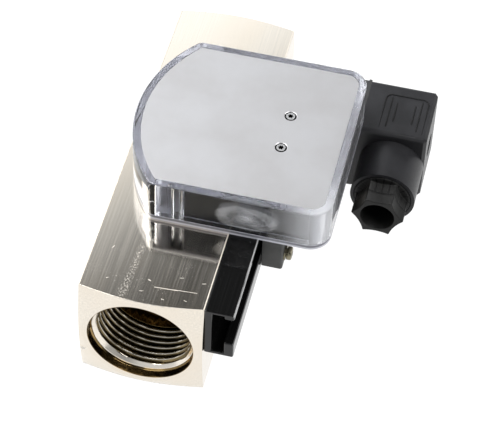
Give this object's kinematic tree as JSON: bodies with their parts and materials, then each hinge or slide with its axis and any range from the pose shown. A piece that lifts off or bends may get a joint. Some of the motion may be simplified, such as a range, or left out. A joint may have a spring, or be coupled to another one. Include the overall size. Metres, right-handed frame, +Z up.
{
  "type": "variable area flow meter",
  "caption": "Spring-loaded float flow meter: square plated body with threaded ports, clear D-shaped indicator box with bare plate, and a clamped limit switch with angled plug.",
  "frame": {"origin": "centre of the inlet mouth, on the flow axis, in the plane of the inlet face", "axes": "+Y along the flow from inlet to outlet, +Z up towards the indicator box, +X towards the switch rail"},
  "size_m": [0.0933, 0.131, 0.0563],
  "materials": {
    "nickel": "nickel plated, lengthwise brushed",
    "brass": "bare turned brass",
    "steel": "bright stainless steel",
    "spring_steel": "spring steel",
    "ferrite": "dark sintered ferrite",
    "float_plastic": "turned off-white plastic",
    "clear": "clear moulded plastic",
    "plate": "satin anodised",
    "black_frame": "black moulded plastic",
    "rail_black": "glossy black anodised",
    "pointer_red": "red moulded plastic",
    "scale_white": "white strip",
    "block_black": "fine-grained black plastic",
    "plug_black": "fine-grained black polyamide",
    "insert_grey": "grey polyamide",
    "seal": "black rubber",
    "board_green": "green laminate",
    "reed": "thin glass tube",
    "blade": "tinned brass"
  },
  "bodies": {
    "meter": {"flow_body": "nickel", "inlet_spider": "brass", "outlet_spider": "brass", "guide_rod": "steel", "measuring_sleeve": "brass", "float_spring": "spring_steel", "indicator_base": "clear", "clear_cover": "clear", "dial_plate": "plate", "plate_screws": "steel", "inner_frame": "black_frame", "arc_scale": "scale_white", "switch_rail": "rail_black"},
    "float": {"float_body": "float_plastic", "float_magnet": "ferrite"},
    "pointer": {"pointer_shaft": "steel", "pointer_arm": "black_frame", "follower_magnet": "ferrite", "counterweight": "brass", "pointer_flag": "pointer_red"},
    "switch_unit": {"switch_housing": "block_black", "guide_shoe": "steel", "switch_lid": "block_black", "reed_board": "board_green", "reed_switch": "reed", "reed_leads": "steel", "connector_base": "plug_black", "contact_blades": "blade", "flat_gasket": "seal", "plug_housing": "plug_black", "terminal_insert": "insert_grey", "gland_seal": "seal"},
    "clamp_screw": {"clamp_screw": "steel"},
    "centre_screw": {"centre_screw": "steel"},
    "gland_nut": {"gland_nut": "plug_black"}
  },
  "joints": [
    {"name": "float_slide", "type": "slide", "parent": "meter", "child": "float", "axis": [0, 1, 0], "range_m": [0, 0.03], "stiffness_N_per_m": 30, "springref_m": -0.01, "deforming": ["float_spring"]},
    {"name": "pointer_turn", "type": "hinge", "parent": "meter", "child": "pointer", "pos_m": [0.0303, 0.0665, 0.0275], "axis": [0, 0, -1], "range_deg": [0, 56.8]},
    {"name": "switch_slide", "type": "slide", "parent": "meter", "child": "switch_unit", "axis": [0, 1, 0], "range_m": [-0.034, 0.01]},
    {"name": "clamp_screw_turn", "type": "hinge", "parent": "switch_unit", "child": "clamp_screw", "pos_m": [0.0296, 0.044, 0.0043], "axis": [1, 0, 0], "continuous": true},
    {"name": "centre_screw_turn", "type": "hinge", "parent": "switch_unit", "child": "centre_screw", "pos_m": [0.06245, 0.1009, 0.006], "axis": [1, 0, 0], "continuous": true},
    {"name": "gland_nut_turn", "type": "hinge", "parent": "switch_unit", "child": "gland_nut", "pos_m": [0.06245, 0.0648, 0.006], "axis": [0, 1, 0], "continuous": true}
  ],
  "couplings": [
    {"joint": "pointer_turn", "follows": "float_slide", "rad_per_m": 33.003}
  ]
}
